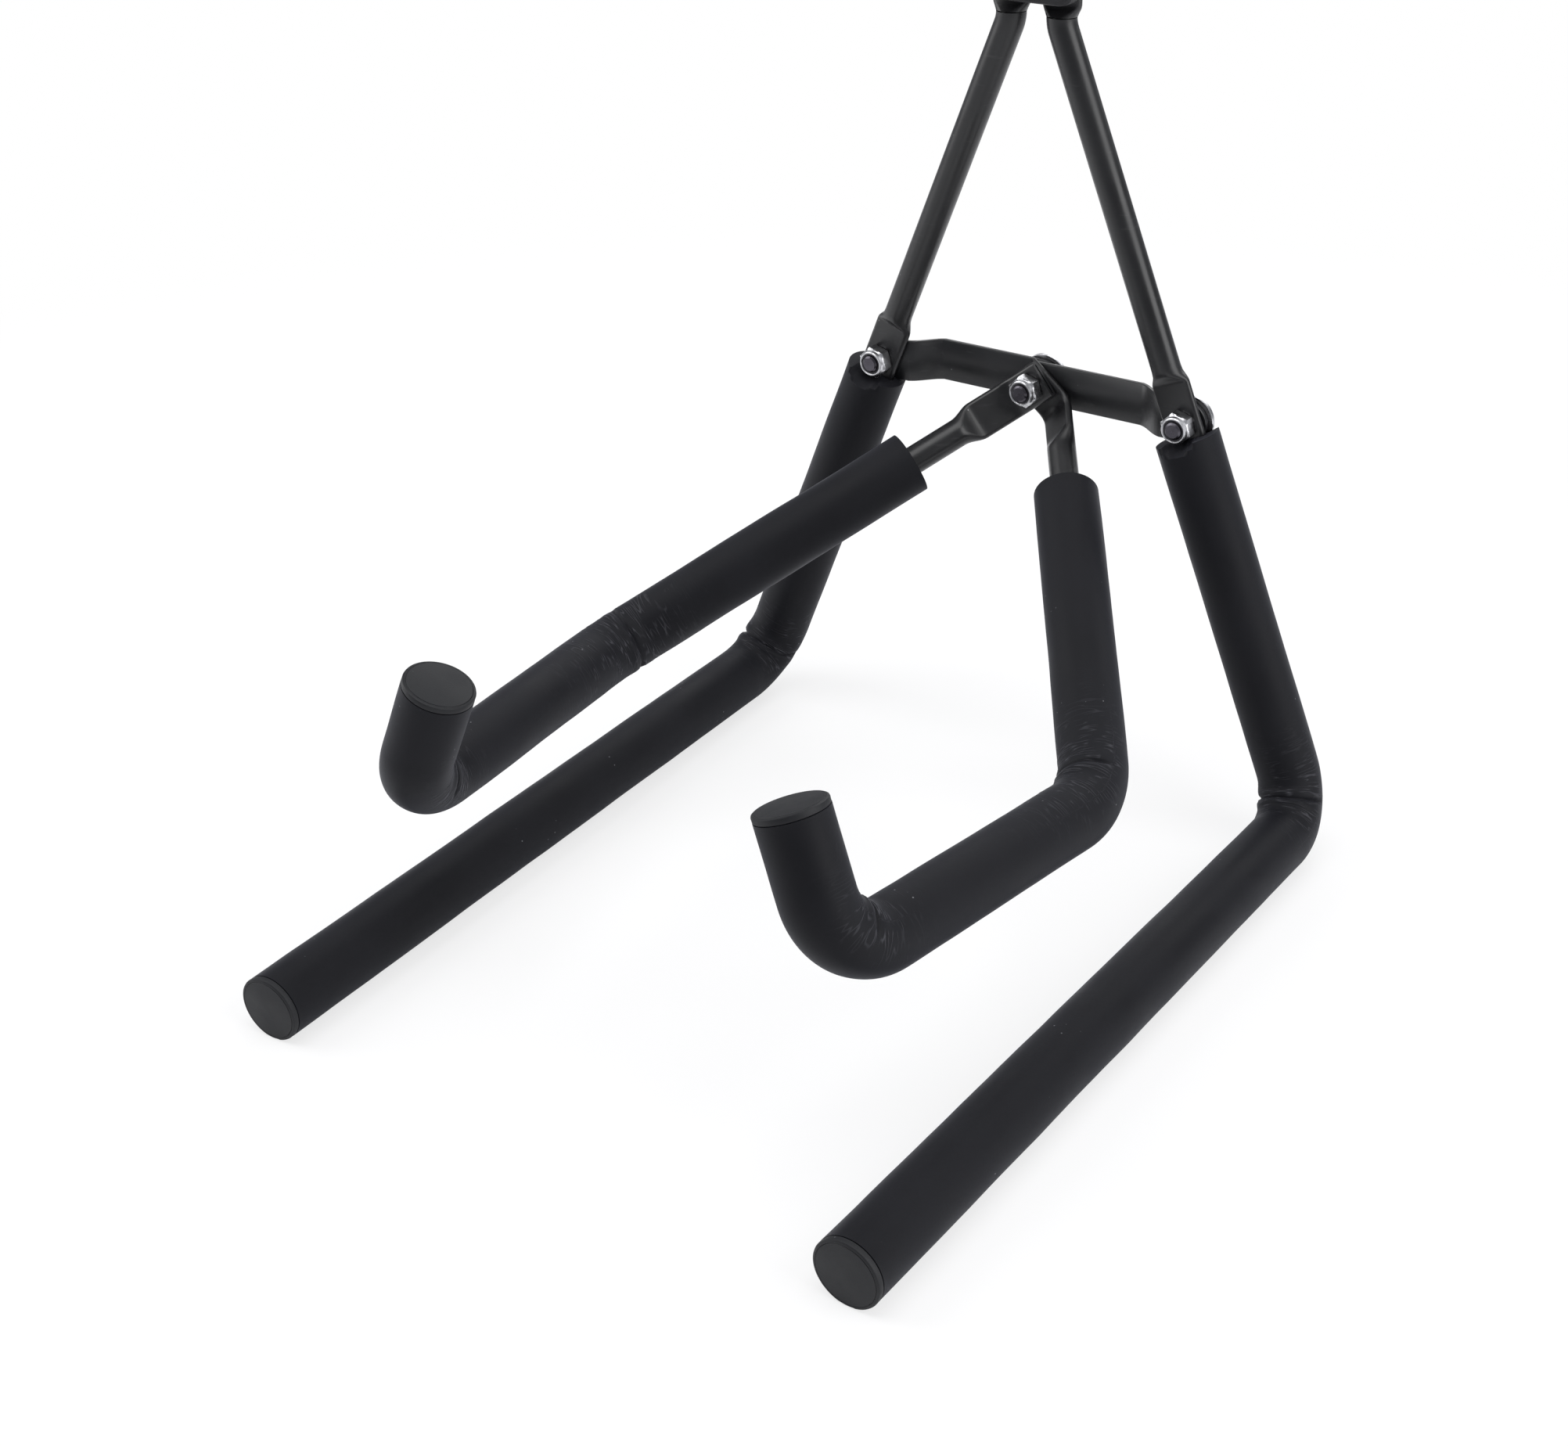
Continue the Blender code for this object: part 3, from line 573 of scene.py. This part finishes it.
def foam_material():
    """Closed-cell foam: dull black with a soft sheen, fine pores and wrinkle lines near the bends, the lines
    bumped and also painted lighter as a painted highlight.
    """
    material, tree, shader = base_material("padded_foam")
    grain = place_group(tree, GRAIN, Scale=1500.0, Blotch_Scale=38.0)
    dust = place_group(tree, DUST, Dust=0.5, Scuffs=0.25)
    arc = add_node(tree, "ShaderNodeAttribute", attribute_name="arc").outputs["Fac"]
    around = add_node(tree, "ShaderNodeAttribute", attribute_name="around").outputs["Fac"]
    crumple = add_node(tree, "ShaderNodeAttribute", attribute_name="crumple").outputs["Fac"]
    line_bump_and_highlight_mask = wrinkle_lines(tree, arc, around, crumple)
    height = math_node(tree, "ADD", math_node(tree, "MULTIPLY", grain.outputs["Height"], 0.35),
                       math_node(tree, "MULTIPLY", line_bump_and_highlight_mask, 1.5))
    shade = mixed_color(tree, grain.outputs["Blotch"], (0.0052, 0.0053, 0.0070), (0.0078, 0.0080, 0.0102))
    # Painted highlight: the wrinkle lines are painted a lighter grey, standing in for the light they catch.
    shade = mixed_color(tree, math_node(tree, "MULTIPLY", line_bump_and_highlight_mask, 0.70), shade, (0.070, 0.070, 0.080))
    shade = mixed_color(tree, dust.outputs["Dust"], shade, (0.30, 0.30, 0.32))
    tree.links.new(shade, shader.inputs["Base Color"])
    rough = ramp(tree, grain.outputs["Blotch"], 0.0, 1.0, 0.50, 0.62)
    tree.links.new(rough, shader.inputs["Roughness"])
    shader.inputs["Sheen Weight"].default_value = 0.06
    shader.inputs["Specular IOR Level"].default_value = 0.13
    shader.inputs["Sheen Roughness"].default_value = 0.45
    shader.inputs["Sheen Tint"].default_value = (0.80, 0.82, 1.0, 1.0)
    bump(tree, height, 0.0001, 0.6, shader)
    return material


def coated_material(name, color, roughness, scuffs):
    """Satin black coating over steel, with soft roughness changes, dust and worn spots."""
    material, tree, shader = base_material(name)
    grain = place_group(tree, GRAIN, Scale=700.0, Blotch_Scale=60.0)
    dust = place_group(tree, DUST, Dust=0.8, Scuffs=scuffs)
    darker = tuple(value * 0.7 for value in color)
    shade = mixed_color(tree, grain.outputs["Blotch"], darker, color)
    shade = mixed_color(tree, dust.outputs["Scuffs"], shade, (0.09, 0.09, 0.095))
    shade = mixed_color(tree, dust.outputs["Dust"], shade, (0.35, 0.35, 0.36))
    tree.links.new(shade, shader.inputs["Base Color"])
    rough = ramp(tree, grain.outputs["Blotch"], 0, 1, roughness - 0.05, roughness + 0.05)
    rough = math_node(tree, "ADD", rough, math_node(tree, "MULTIPLY", dust.outputs["Scuffs"], 0.2))
    tree.links.new(rough, shader.inputs["Roughness"])
    bump(tree, grain.outputs["Height"], 0.00005, 0.25, shader)
    return material


def moulded_material(name, color, roughness):
    """Moulded plastic or rubber with a fine texture and a few dust specks."""
    material, tree, shader = base_material(name)
    grain = place_group(tree, GRAIN, Scale=2200.0, Blotch_Scale=90.0)
    dust = place_group(tree, DUST, Dust=0.5, Scuffs=0.3)
    shade = mixed_color(tree, grain.outputs["Blotch"], tuple(value * 0.8 for value in color), color)
    shade = mixed_color(tree, dust.outputs["Dust"], shade, (0.30, 0.30, 0.32))
    tree.links.new(shade, shader.inputs["Base Color"])
    tree.links.new(ramp(tree, grain.outputs["Blotch"], 0, 1, roughness - 0.06, roughness + 0.06),
                   shader.inputs["Roughness"])
    shader.inputs["Specular IOR Level"].default_value = 0.28
    bump(tree, grain.outputs["Height"], 0.00006, 0.4, shader)
    return material


def zinc_material(name, dull, bright):
    """Zinc plate with a little dulling and fine scratches."""
    material, tree, shader = base_material(name)
    grain = place_group(tree, GRAIN, Scale=1200.0, Blotch_Scale=150.0)
    dust = place_group(tree, DUST, Dust=0.0, Scuffs=0.25)
    shade = mixed_color(tree, grain.outputs["Blotch"], dull, bright)
    shade = mixed_color(tree, dust.outputs["Scuffs"], shade, dull)
    tree.links.new(shade, shader.inputs["Base Color"])
    tree.links.new(ramp(tree, grain.outputs["Blotch"], 0, 1, 0.22, 0.36), shader.inputs["Roughness"])
    shader.inputs["Metallic"].default_value = 1.0
    bump(tree, grain.outputs["Height"], 0.00004, 0.3, shader)
    return material


FOAM = foam_material()
TUBE = coated_material("tube_coating", (0.0060, 0.0060, 0.0072), 0.34, 0.12)
STRAP = coated_material("strap_coating", (0.0095, 0.0098, 0.0115), 0.38, 0.12)
CAP = moulded_material("cap_moulding", (0.0100, 0.0106, 0.0128), 0.52)
PAD = moulded_material("pad_rubber", (0.016, 0.016, 0.018), 0.62)
NYLON = moulded_material("nylon_ring", (0.030, 0.028, 0.034), 0.45)
ZINC = zinc_material("zinc_plate", (0.42, 0.42, 0.43), (0.60, 0.60, 0.62))
# Painted shade: the bolts and the pin get a dark zinc colour, standing in for the dark reflection on their
# ends.
BOLT_ZINC_PAINTED_DARK = zinc_material("bolt_zinc_painted_dark", (0.060, 0.056, 0.066), (0.10, 0.095, 0.11))


# Wrinkles as geometry nodes

def wrinkle_tree():
    """Moves the skin along its normal: slow waves everywhere, thin raised lines where crumple is high."""
    tree = bpy.data.node_groups.new("foam_wrinkles", "GeometryNodeTree")
    interface = tree.interface
    interface.new_socket("Geometry", in_out="INPUT", socket_type="NodeSocketGeometry")
    for label, value in (("Wave Height", 0.00012), ("Line Height", 0.00022)):
        socket = interface.new_socket(label, in_out="INPUT", socket_type="NodeSocketFloat")
        socket.default_value = value
    interface.new_socket("Geometry", in_out="OUTPUT", socket_type="NodeSocketGeometry")
    given = tree.nodes.new("NodeGroupInput")
    result = tree.nodes.new("NodeGroupOutput")

    def attribute(label):
        node = add_node(tree, "GeometryNodeInputNamedAttribute", {"Name": label}, data_type="FLOAT")
        return node.outputs["Attribute"]

    around = attribute("around")
    line = wrinkle_lines(tree, attribute("arc"), around, attribute("crumple"))
    line = math_node(tree, "MULTIPLY", line, given.outputs["Line Height"])
    place = tree.nodes.new("GeometryNodeInputPosition").outputs[0]
    broad = add_node(tree, "ShaderNodeTexNoise", {"Vector": place, "Scale": 28.0, "Detail": 2.0})
    wave = math_node(tree, "MULTIPLY", ramp(tree, broad.outputs["Fac"], 0.3, 0.7, -1.0, 1.0),
                     given.outputs["Wave Height"])
    normal = tree.nodes.new("GeometryNodeInputNormal").outputs[0]
    lift = math_node(tree, "ADD", line, wave)
    offset = add_node(tree, "ShaderNodeVectorMath", {0: normal, "Scale": lift}, operation="SCALE").outputs[0]
    outside = add_node(tree, "FunctionNodeCompare", {0: around, 1: 0.0},
                       data_type="FLOAT", operation="GREATER_THAN")
    moved = add_node(tree, "GeometryNodeSetPosition", {"Geometry": given.outputs["Geometry"],
                                                       "Selection": outside.outputs[0], "Offset": offset})
    tree.links.new(moved.outputs[0], result.inputs[0])
    return tree


WRINKLES = wrinkle_tree()


def set_inputs(modifier, values):
    for item in modifier.node_group.interface.items_tree:
        if item.item_type == "SOCKET" and item.in_out == "INPUT" and item.name in values:
            modifier[item.identifier] = values[item.name]


def wrinkle(obj, line_height):
    modifier = obj.modifiers.new("wrinkles", "NODES")
    modifier.node_group = WRINKLES
    set_inputs(modifier, {"Line Height": line_height})
    bpy.context.view_layer.update()
    evaluated = obj.evaluated_get(bpy.context.evaluated_depsgraph_get())
    mesh = bpy.data.meshes.new_from_object(evaluated)
    obj.modifiers.remove(modifier)
    obj.data = mesh


# Pieces

def attach(obj, body, slot, *nodes):
    if nodes:
        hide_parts(*nodes)
    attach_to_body(obj, body)
    return obj


def build_sides():
    for side, word in SIDES:
        body = word + "_side"
        tube = tube_piece(word + "_tube_skin", side_corners(), side, TUBE)
        attach(tube, body, "tube_steel", word + "_side_tube")
        pivot = mirrored(PIVOT, side)
        dents = ((pivot, *NUT_DENT), (pivot, *WASHER_DENT))
        sleeve = sleeve_piece(word + "_side_foam", side_sleeve_corners(), side, FOAM, (SIDE_CREASE,),
                              0.3 + 0.1 * side, dents, floor=True)
        wrinkle(sleeve, 0.12 * MM)
        for vertex in sleeve.data.vertices:
            vertex.co.z = max(vertex.co.z, 0.0)
        attach(sleeve, body, "foam", word + "_side_sleeve")
        toe = mirrored(TOE, side)
        foot = cap_piece(word + "_foot_end", toe, mirrored(LEG_FORWARD, side))
        for vertex in foot.data.vertices:
            vertex.co.z = max(vertex.co.z, 0.0)
        attach(foot, body, "cap_plastic", word + "_foot_cap")


def cap_piece(name, tip, outward):
    back = -CAP_THICKNESS - 0.9 * GAP
    lip = 0.35 * MM
    groove = 0.30 * MM
    profile = [(back - 8.0 * MM, 3.0 * MM),
               (back, 3.4 * MM),
               (back, FOAM_RADIUS - 0.4 * MM),
               (back + 0.3 * MM, FOAM_RADIUS - 0.05 * MM),
               (-1.15 * MM, FOAM_RADIUS),
               (-0.75 * MM, FOAM_RADIUS - 0.15 * MM),
               (-0.50 * MM, FOAM_RADIUS - 0.55 * MM),
               (-0.46 * MM, FOAM_RADIUS - 0.55 * MM - lip),
               (-0.46 * MM - groove * 0.4, FOAM_RADIUS - 0.6 * MM - lip - groove * 0.5),
               (-0.40 * MM, FOAM_RADIUS - 0.6 * MM - lip - groove),
               (-0.22 * MM, FOAM_RADIUS * 0.66),
               (-0.08 * MM, FOAM_RADIUS * 0.36),
               (-0.02 * MM, FOAM_RADIUS * 0.1)]
    return turned_piece(name, tip, outward, profile, CAP, sides=72)


def build_cradles():
    layout = ((1, "right", REAR_CRADLE_Y, REAR_CRADLE_HANG),
              (-1, "left", FRONT_CRADLE_Y, FRONT_CRADLE_HANG))
    for side, word, layer, hang in layout:
        body = word + "_cradle"
        tube = tube_piece(word + "_cradle_tube_skin", cradle_corners(layer, hang), side, TUBE)
        attach(tube, body, "tube_steel", word + "_cradle_tube")
        sleeve = sleeve_piece(word + "_cradle_foam", cradle_sleeve_corners(layer, hang), side, FOAM,
                              (REAR_CREASE, FRONT_CREASE), 0.6 + 0.1 * side)
        wrinkle(sleeve, 0.16 * MM)
        attach(sleeve, body, "foam", word + "_cradle_sleeve")
        tip = mirrored(CRADLE_TIP + Vector((0, PLANE_Y, 0)), side)
        front = mirrored(CRADLE_FRONT_BEND + Vector((0, PLANE_Y, 0)), side)
        cap = cap_piece(word + "_cradle_end", tip, (tip - front).normalized())
        attach(cap, body, "cap_plastic", word + "_cradle_cap")


def strap_piece(name, side, node):
    """Flat bar with rolled edges, joggled back between its ends."""
    _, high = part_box(node)
    far = high.y - STRAP_THICKNESS
    near = PLANE_Y + CRIMP_HALF + GAP
    length = PIVOT.x
    stations = []
    steps = 14
    joggle_steps = 12
    for step in range(1, steps + 1):
        angle = math.pi / 2 * step / steps
        stations.append((-STRAP_HALF_WIDTH * math.cos(angle), STRAP_HALF_WIDTH * math.sin(angle), near))
    for step in range(joggle_steps + 1):
        share = step / joggle_steps
        if step == 0:
            offset = near
        elif step == joggle_steps:
            offset = far
        else:
            offset = near + (far - near) * smooth_step(0.0, 1.0, share * 0.86 + 0.07)
        stations.append((JOGGLE_START + (JOGGLE_END - JOGGLE_START) * share, STRAP_HALF_WIDTH, offset))
    for step in range(steps, 0, -1):
        angle = math.pi / 2 * step / steps
        stations.append((length + STRAP_HALF_WIDTH * math.cos(angle),
                         STRAP_HALF_WIDTH * math.sin(angle), far))
    edge = 0.35 * MM
    rings = []
    for distance, half, front in stations:
        x = side * (PIVOT.x - distance)
        back = front + STRAP_THICKNESS
        inner = max(half - edge, half * 0.5)
        outline = ((front, -inner), (front + edge, -half), (back - edge, -half), (back, -inner),
                   (back, inner), (back - edge, half), (front + edge, half), (front, inner))
        rings.append([Vector((x, y, PIVOT.z + z)) for y, z in outline])
    shape = bmesh.new()
    skin(shape, rings, closed=False)
    return new_object(name, shape, STRAP, smooth_angle=50)


def build_straps():
    for side, word in SIDES:
        node = word + "_strap"
        attach(strap_piece(node + "_bar", side, node), node, "strap_steel", node)


def lock_nut_pieces(name, node, outward, body):
    """Chamfered nut with its crimped collar, and the dark ring set in the collar."""
    low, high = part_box(node)
    centre = (low + high) / 2
    direction = BACKWARD * outward
    start = Vector((centre.x, low.y if outward > 0 else high.y, centre.z))
    hole = BOLT_RADIUS + 0.12 * MM
    collar = [(4.7 * MM, 4.75 * MM), (5.7 * MM, 4.5 * MM), (6.0 * MM, 4.2 * MM), (6.0 * MM, 3.9 * MM),
              (5.2 * MM, hole)]
    profile = [(0, hole)] + hex_steps(0.0, 4.6 * MM) + collar
    nut = turned_piece(name, start, direction, profile, ZINC, sides=72, closed=True)
    attach(nut, body, "zinc_hardware", node)
    lining = [(5.25 * MM, hole), (5.75 * MM, hole), (5.85 * MM, 3.5 * MM), (5.7 * MM, 3.85 * MM),
              (5.25 * MM, 3.6 * MM)]
    ring = turned_piece(name + "_ring", start, direction, lining, NYLON, sides=48, closed=True)
    attach(ring, body, "cap_plastic")


def bolt_piece(name, node, body):
    """Bolt with a chamfered hexagon head at its rear end."""
    low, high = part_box(node)
    centre = (low + high) / 2
    seat = high.y - BOLT_HEAD_HEIGHT
    start = Vector((centre.x, low.y, centre.z))
    span = seat - low.y
    profile = [(0.05 * MM, 0.6 * MM), (0.0, 2.3 * MM), (0.55 * MM, 2.95 * MM), (span, BOLT_RADIUS)]
    profile += hex_steps(span, BOLT_HEAD_HEIGHT)
    profile += [(span + 3.9 * MM, 3.4 * MM), (span + 3.9 * MM, 0.5 * MM)]
    bolt = turned_piece(name, start, BACKWARD, profile, BOLT_ZINC_PAINTED_DARK, sides=72)
    attach(bolt, body, "zinc_hardware", node)


def plain_pin(name, node, body):
    low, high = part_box(node)
    centre = (low + high) / 2
    start = Vector((centre.x, low.y, centre.z))
    length = high.y - low.y
    profile = [(0.05 * MM, 0.6 * MM), (0.0, 2.3 * MM), (0.55 * MM, 2.95 * MM),
               (length - 0.2 * MM, BOLT_RADIUS), (length, BOLT_RADIUS - 0.2 * MM)]
    pin = turned_piece(name, start, BACKWARD, profile, BOLT_ZINC_PAINTED_DARK, sides=64)
    attach(pin, body, "zinc_hardware", node)


def washer_piece(name, node, body):
    low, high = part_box(node)
    centre = (low + high) / 2
    start = Vector((centre.x, low.y, centre.z))
    thick = high.y - low.y
    hole = BOLT_RADIUS + GAP
    edge = 0.25 * MM
    outer = WASHER_RADIUS
    profile = [(0, hole + edge), (0, outer - edge), (edge, outer), (thick - edge, outer),
               (thick, outer - edge), (thick, hole + edge), (thick - edge, hole), (edge, hole)]
    washer = turned_piece(name, start, BACKWARD, profile, ZINC, sides=72, closed=True)
    attach(washer, body, "zinc_hardware", node)


def flush_bolt(name, node, body):
    """Low round-headed bolt, its head at the front under the pad."""
    low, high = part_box(node)
    centre = (low + high) / 2
    start = Vector((centre.x, low.y, centre.z))
    length = high.y - low.y
    profile = [(0.0, 1.0 * MM), (0.2 * MM, 3.8 * MM), (0.9 * MM, 4.9 * MM), (2.2 * MM, 5.0 * MM),
               (2.2 * MM, BOLT_RADIUS), (length - 0.6 * MM, BOLT_RADIUS), (length, BOLT_RADIUS - 0.6 * MM),
               (length, 0.5 * MM)]
    bolt = turned_piece(name, start, BACKWARD, profile, ZINC, sides=64)
    attach(bolt, body, "zinc_hardware", node)


def build_fasteners():
    for _, word in SIDES:
        body = word + "_side"
        bolt_piece(word + "_pivot_bolt_turned", word + "_pivot_bolt", body)
        lock_nut_pieces(word + "_pivot_lock_nut", word + "_pivot_nut", -1, body)
        washer_piece(word + "_pivot_washer_turned", word + "_pivot_washer", body)
        flush_bolt(word + "_head_bolt_turned", word + "_head_bolt", "head")
        lock_nut_pieces(word + "_head_lock_nut", word + "_head_nut", 1, "head")
    plain_pin("centre_stud_turned", "centre_stud", "right_strap")
    lock_nut_pieces("centre_lock_nut", "centre_nut", -1, "right_strap")
    bolt_piece("centre_bolt_turned", "centre_bolt", "left_strap")
    washer_piece("centre_washer_turned", "centre_washer", "left_strap")


def build_head():
    """The plates and the pad keep their solids and take a finish each."""
    for node in ("head_plate_front", "head_plate_back"):
        give_material(frame["nodes"][node], TUBE)
    give_material(frame["nodes"]["rest_pad"], PAD)


def give_material(obj, material):
    obj.data.materials.clear()
    obj.data.materials.append(material)


# Studio

def look_matrix(yaw, pitch, roll, place):
    forward = Vector((-math.sin(yaw) * math.cos(pitch), math.cos(yaw) * math.cos(pitch), -math.sin(pitch)))
    right = Vector((math.cos(yaw), math.sin(yaw), 0))
    up = right.cross(forward)
    tilted_right = right * math.cos(roll) + up * math.sin(roll)
    tilted_up = up * math.cos(roll) - right * math.sin(roll)
    turned = Matrix((tilted_right, tilted_up, -forward)).transposed().to_4x4()
    return Matrix.Translation(place) @ turned


FLOOR_DROP = 0.3 * MM
CAMERA_PLACE = Vector((0.359, -0.640 + PLANE_Y, 0.425))
CAMERA_ANGLES = (33.14, 28.61, -0.36)
CAMERA_LENS = 51.14
CAMERA_SHIFT = (-0.0659, -0.0175)


def add_camera():
    """Camera at the photograph's place: 51 mm lens, frame shifted like the cropped picture."""
    data = bpy.data.cameras.new("camera")
    data.sensor_width = 36.0
    data.lens = CAMERA_LENS
    data.shift_x, data.shift_y = CAMERA_SHIFT
    data.clip_start = 0.01
    camera = bpy.data.objects.new("camera", data)
    yaw, pitch, roll = (math.radians(angle) for angle in CAMERA_ANGLES)
    camera.matrix_world = look_matrix(yaw, pitch, roll, CAMERA_PLACE)
    bpy.context.scene.collection.objects.link(camera)
    bpy.context.scene.camera = camera


def add_softbox(name, place, target, size, power):
    data = bpy.data.lights.new(name, "AREA")
    data.shape = "RECTANGLE"
    data.size, data.size_y = size
    data.energy = power
    lamp = bpy.data.objects.new(name, data)
    lamp.location = place
    lamp.rotation_euler = (Vector(target) - Vector(place)).to_track_quat("-Z", "Y").to_euler()
    bpy.context.scene.collection.objects.link(lamp)


def add_world():
    world = bpy.data.worlds.new("studio")
    bpy.context.scene.world = world
    world.use_nodes = True
    tree = world.node_tree
    tree.nodes.clear()
    path = tree.nodes.new("ShaderNodeLightPath")
    plain = add_node(tree, "ShaderNodeBackground", {"Color": (0.85, 0.87, 0.92, 1), "Strength": 0.34})
    white = add_node(tree, "ShaderNodeBackground", {"Color": (1, 1, 1, 1), "Strength": 1.0})
    mix = add_node(tree, "ShaderNodeMixShader", {0: path.outputs["Is Camera Ray"], 1: plain.outputs[0],
                                                 2: white.outputs[0]})
    out = tree.nodes.new("ShaderNodeOutputWorld")
    tree.links.new(mix.outputs[0], out.inputs[0])


def add_floor():
    """Pale floor that shows almost white to the camera and keeps a soft shadow."""
    material, tree, shader = base_material("floor_paper")
    shader.inputs["Base Color"].default_value = (0.86, 0.86, 0.87, 1)
    shader.inputs["Roughness"].default_value = 0.9
    glow = add_node(tree, "ShaderNodeEmission", {"Color": (1, 1, 1, 1), "Strength": 1.0})
    path = tree.nodes.new("ShaderNodeLightPath")
    place = add_node(tree, "ShaderNodeTexCoord").outputs["Object"]
    distance = add_node(tree, "ShaderNodeVectorMath", {0: place}, operation="LENGTH").outputs["Value"]
    fade = ramp(tree, distance, 0.30, 0.80, 0.72, 1.0)
    share = math_node(tree, "MULTIPLY", path.outputs["Is Camera Ray"], fade)
    mix = add_node(tree, "ShaderNodeMixShader", {0: share, 1: shader.outputs[0], 2: glow.outputs[0]})
    tree.links.new(mix.outputs[0], tree.nodes["Material Output"].inputs["Surface"])
    shape = bmesh.new()
    bmesh.ops.create_grid(shape, x_segments=1, y_segments=1, size=6.0)
    floor = new_object("floor", shape, material)
    floor.location.z = -FLOOR_DROP


def add_studio():
    add_camera()
    add_world()
    add_floor()
    middle = (0, 0, 0.12)
    add_softbox("softbox_left", (-1.3, -0.5, 0.9), middle, (1.0, 1.6), 16)
    add_softbox("softbox_right", (1.4, 0.1, 0.8), middle, (1.0, 1.6), 17)
    add_softbox("softbox_top", (0.1, -0.2, 1.6), middle, (1.4, 1.0), 13)
    add_softbox("softbox_back", (-0.2, 1.4, 0.9), middle, (1.8, 0.9), 10)
    bpy.context.scene.view_settings.view_transform = "Standard"


add_studio()
build_sides()
build_cradles()
build_straps()
build_fasteners()
build_head()
